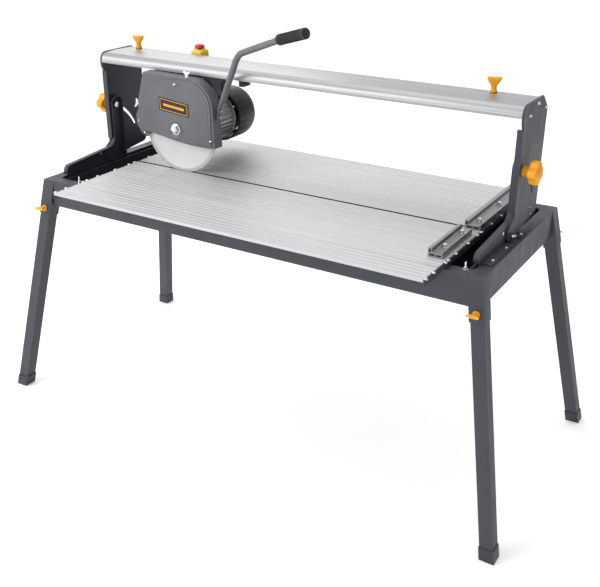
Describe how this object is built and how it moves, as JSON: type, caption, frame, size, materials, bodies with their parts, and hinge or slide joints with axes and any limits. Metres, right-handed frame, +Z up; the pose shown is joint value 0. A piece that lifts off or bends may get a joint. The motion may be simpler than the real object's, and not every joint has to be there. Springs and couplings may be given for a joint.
{
  "type": "wet tile saw",
  "caption": "Bridge tile saw: overhead rail with a sliding motor head, guarded blade and lever, ribbed aluminium table over a water tray, tilting uprights, splayed plug-in legs.",
  "frame": {"origin": "on the floor, under the middle of the overall footprint", "axes": "+X along the cut, towards the fence end; +Y away from the operator; +Z up"},
  "size_m": [1.4562, 0.6878, 1.05],
  "materials": {
    "frame_paint": "charcoal powder coat with a fine orange-peel texture",
    "guard_paint": "mid grey satin paint on pressed steel",
    "table_aluminium": "extruded aluminium, mill finish, fine die lines along the cut",
    "rail_aluminium": "extruded aluminium, satin anodised",
    "motor_aluminium": "die-cast aluminium, bead-blasted silver",
    "blade_steel": "ground steel disc with a sintered diamond rim",
    "fastener_steel": "bright zinc-plated steel",
    "roller_steel": "hardened steel rollers",
    "carriage_casting": "black coated die casting",
    "yellow_plastic": "orange-yellow moulded nylon",
    "switch_plastic": "yellow moulded ABS",
    "red_plastic": "glossy red moulded ABS",
    "green_plastic": "glossy green moulded ABS",
    "black_plastic": "black moulded nylon with a fine grain",
    "grip_rubber": "black ribbed rubber",
    "foot_rubber": "black rubber"
  },
  "bodies": {
    "frame": {"frame_rail_front": "frame_paint", "frame_rail_rear": "frame_paint", "frame_rail_left": "frame_paint", "frame_rail_right": "frame_paint", "leg_socket_front_left": "frame_paint", "leg_socket_front_right": "frame_paint", "leg_socket_rear_left": "frame_paint", "leg_socket_rear_right": "frame_paint", "front_plank_outer": "table_aluminium", "front_plank_inner": "table_aluminium", "rear_plank_inner": "table_aluminium", "rear_plank_middle": "table_aluminium", "rear_plank_outer": "table_aluminium", "table_end_plate_left": "frame_paint", "table_end_plate_right": "frame_paint", "water_tray": "frame_paint", "water_pump": "black_plastic", "upright_left": "frame_paint", "upright_right": "frame_paint"},
    "leg_front_left": {"leg_front_left": "frame_paint", "foot_front_left": "foot_rubber"},
    "leg_knob_front_left": {"leg_knob_front_left": "yellow_plastic"},
    "leg_front_right": {"leg_front_right": "frame_paint", "foot_front_right": "foot_rubber"},
    "leg_knob_front_right": {"leg_knob_front_right": "yellow_plastic"},
    "leg_rear_left": {"leg_rear_left": "frame_paint", "foot_rear_left": "foot_rubber"},
    "leg_knob_rear_left": {"leg_knob_rear_left": "yellow_plastic"},
    "leg_rear_right": {"leg_rear_right": "frame_paint", "foot_rear_right": "foot_rubber"},
    "leg_knob_rear_right": {"leg_knob_rear_right": "yellow_plastic"},
    "bridge": {"bridge_rail": "rail_aluminium", "end_plate_left": "frame_paint", "end_plate_right": "frame_paint"},
    "tilt_knob_left": {"tilt_knob_left": "yellow_plastic"},
    "tilt_knob_right": {"tilt_knob_right": "yellow_plastic"},
    "rail_knob_left": {"rail_knob_left": "yellow_plastic"},
    "rail_knob_right": {"rail_knob_right": "yellow_plastic"},
    "carriage": {"carriage": "carriage_casting"},
    "roller_axle_1": {"roller_axle_1": "roller_steel"},
    "roller_axle_2": {"roller_axle_2": "roller_steel"},
    "saw_head": {"head_bracket": "guard_paint", "motor_housing": "motor_aluminium", "fan_cover": "black_plastic", "terminal_box": "black_plastic", "switch_housing": "switch_plastic", "guard_cover": "guard_paint", "guard_back_plate": "guard_paint", "handle": "guard_paint", "handle_grip": "grip_rubber"},
    "spindle": {"motor_shaft": "fastener_steel", "saw_blade": "blade_steel", "blade_flange_nut": "fastener_steel"},
    "stop_button": {"stop_button": "red_plastic"},
    "start_button": {"start_button": "green_plastic"},
    "guard_wing_nut": {"guard_wing_nut": "fastener_steel"},
    "fence_front": {"fence_front": "rail_aluminium"},
    "fence_rear": {"fence_rear": "rail_aluminium"},
    "drain_plug": {"drain_plug": "foot_rubber"}
  },
  "joints": [
    {"name": "leg_front_left_pull", "type": "slide", "parent": "frame", "child": "leg_front_left", "axis": [-0.183, -0.1474, -0.972], "range_m": [0, 0.085]},
    {"name": "leg_knob_front_left_turn", "type": "hinge", "parent": "frame", "child": "leg_knob_front_left", "pos_m": [-0.60902, -0.25309, 0.53887], "axis": [0.0273, -0.9891, 0.1448], "range_deg": [0, 720]},
    {"name": "leg_front_right_pull", "type": "slide", "parent": "frame", "child": "leg_front_right", "axis": [0.183, -0.1474, -0.972], "range_m": [0, 0.085]},
    {"name": "leg_knob_front_right_turn", "type": "hinge", "parent": "frame", "child": "leg_knob_front_right", "pos_m": [0.60902, -0.25309, 0.53887], "axis": [-0.0273, -0.9891, 0.1448], "range_deg": [0, 720]},
    {"name": "leg_rear_left_pull", "type": "slide", "parent": "frame", "child": "leg_rear_left", "axis": [-0.183, 0.1474, -0.972], "range_m": [0, 0.085]},
    {"name": "leg_knob_rear_left_turn", "type": "hinge", "parent": "frame", "child": "leg_knob_rear_left", "pos_m": [-0.60902, 0.26229, 0.53887], "axis": [0.0273, 0.9891, 0.1448], "range_deg": [0, 720]},
    {"name": "leg_rear_right_pull", "type": "slide", "parent": "frame", "child": "leg_rear_right", "axis": [0.183, 0.1474, -0.972], "range_m": [0, 0.085]},
    {"name": "leg_knob_rear_right_turn", "type": "hinge", "parent": "frame", "child": "leg_knob_rear_right", "pos_m": [0.60902, 0.26229, 0.53887], "axis": [-0.0273, 0.9891, 0.1448], "range_deg": [0, 720]},
    {"name": "bridge_tilt", "type": "hinge", "parent": "frame", "child": "bridge", "pos_m": [0, -0.0269, 0.631], "axis": [1, 0, 0], "range_deg": [0, 45]},
    {"name": "tilt_knob_left_turn", "type": "hinge", "parent": "frame", "child": "tilt_knob_left", "pos_m": [-0.596, 0.0171, 0.766], "axis": [-1, 0, 0], "range_deg": [0, 720]},
    {"name": "tilt_knob_right_turn", "type": "hinge", "parent": "frame", "child": "tilt_knob_right", "pos_m": [0.596, 0.0171, 0.766], "axis": [1, 0, 0], "range_deg": [0, 720]},
    {"name": "rail_knob_left_turn", "type": "hinge", "parent": "bridge", "child": "rail_knob_left", "pos_m": [-0.538, 0.0871, 0.911], "axis": [0, 0, 1], "range_deg": [0, 720]},
    {"name": "rail_knob_right_turn", "type": "hinge", "parent": "bridge", "child": "rail_knob_right", "pos_m": [0.484, 0.0821, 0.911], "axis": [0, 0, 1], "range_deg": [0, 720]},
    {"name": "carriage_travel", "type": "slide", "parent": "bridge", "child": "carriage", "axis": [1, 0, 0], "range_m": [-0.085, 0.66]},
    {"name": "roller_1_roll", "type": "hinge", "parent": "carriage", "child": "roller_axle_1", "pos_m": [-0.384, 0.0466, 0.8967], "axis": [0, 1, 0], "continuous": true},
    {"name": "roller_2_roll", "type": "hinge", "parent": "carriage", "child": "roller_axle_2", "pos_m": [-0.194, 0.0466, 0.8967], "axis": [0, 1, 0], "continuous": true},
    {"name": "head_lift", "type": "hinge", "parent": "carriage", "child": "saw_head", "pos_m": [-0.238, 0.0141, 0.85], "axis": [0, 1, 0], "range_deg": [0, 17]},
    {"name": "blade_spin", "type": "hinge", "parent": "saw_head", "child": "spindle", "pos_m": [-0.314, -0.0269, 0.743], "axis": [0, 1, 0], "continuous": true},
    {"name": "stop_button_press", "type": "slide", "parent": "saw_head", "child": "stop_button", "axis": [0, 0, -1], "range_m": [0, 0.004], "stiffness_N_per_m": 500, "springref_m": -0.002},
    {"name": "start_button_press", "type": "slide", "parent": "saw_head", "child": "start_button", "axis": [0, 0, -1], "range_m": [0, 0.003], "stiffness_N_per_m": 500, "springref_m": -0.002},
    {"name": "guard_wing_nut_turn", "type": "hinge", "parent": "saw_head", "child": "guard_wing_nut", "pos_m": [-0.443, -0.0309, 0.795], "axis": [-1, 0, 0], "range_deg": [0, 720]},
    {"name": "fence_front_slide", "type": "slide", "parent": "frame", "child": "fence_front", "axis": [0, 1, 0], "range_m": [-0.08, 0.01]},
    {"name": "fence_rear_slide", "type": "slide", "parent": "frame", "child": "fence_rear", "axis": [0, 1, 0], "range_m": [0, 0.04]},
    {"name": "drain_plug_pull", "type": "slide", "parent": "frame", "child": "drain_plug", "axis": [0, 0, -1], "range_m": [0, 0.03]}
  ],
  "couplings": [
    {"joint": "roller_1_roll", "follows": "carriage_travel", "rad_per_m": 135.13},
    {"joint": "roller_2_roll", "follows": "carriage_travel", "rad_per_m": 135.13}
  ]
}
